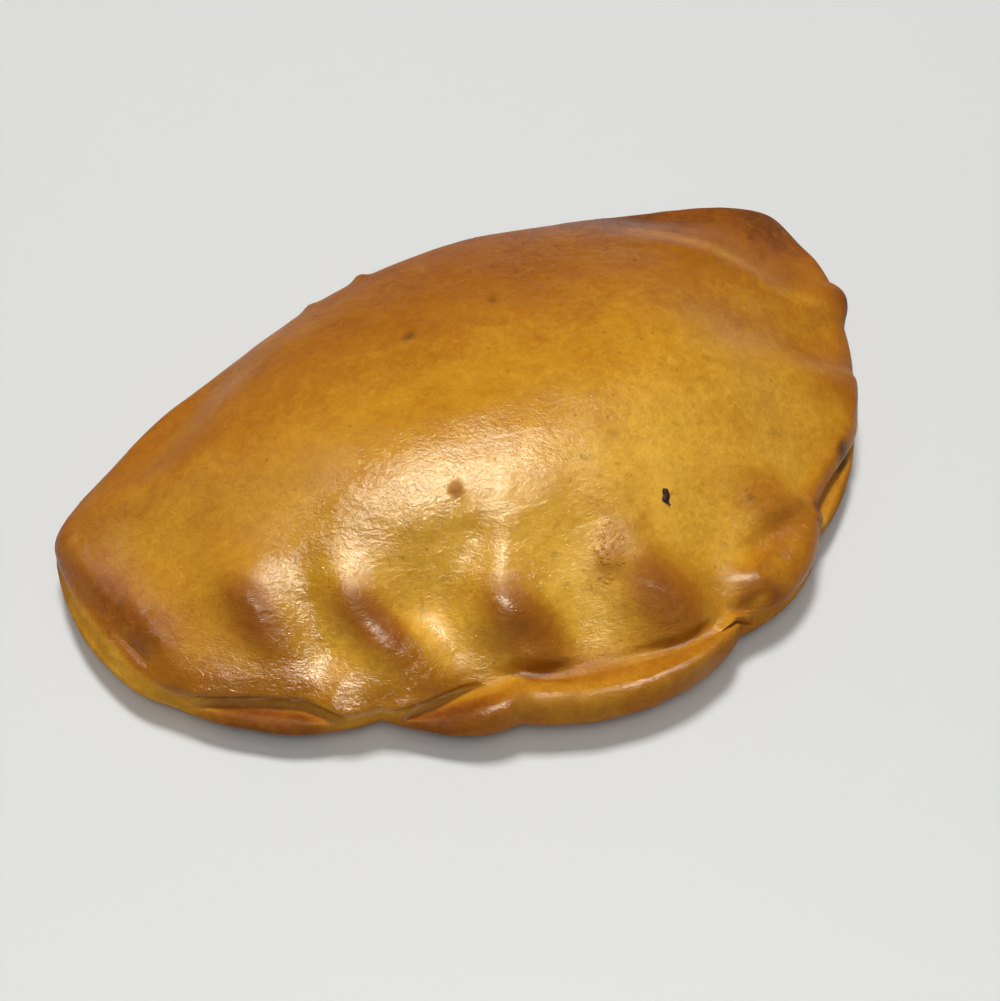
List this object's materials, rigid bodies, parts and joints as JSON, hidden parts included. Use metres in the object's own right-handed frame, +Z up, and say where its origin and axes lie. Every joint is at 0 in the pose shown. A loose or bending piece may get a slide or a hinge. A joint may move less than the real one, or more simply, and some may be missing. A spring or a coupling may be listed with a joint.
{
  "type": "piroshki",
  "caption": "Baked half-moon filled bun with a smooth domed top, slanted pleats above a crimped and rolled front rim, a rounded fold at the back and a flat base.",
  "frame": {"origin": "middle of the overall plan, in the plane of the flat base", "axes": "+X along the length, from the wide, shelf-like end of the rim to the end with the small knob; +Y from the crimped rim to the smooth fold; +Z up from the base"},
  "size_m": [0.1358, 0.086, 0.032],
  "materials": {
    "crust": "satin"
  },
  "bodies": {
    "root": {"piroshki": "crust"}
  },
  "joints": []
}
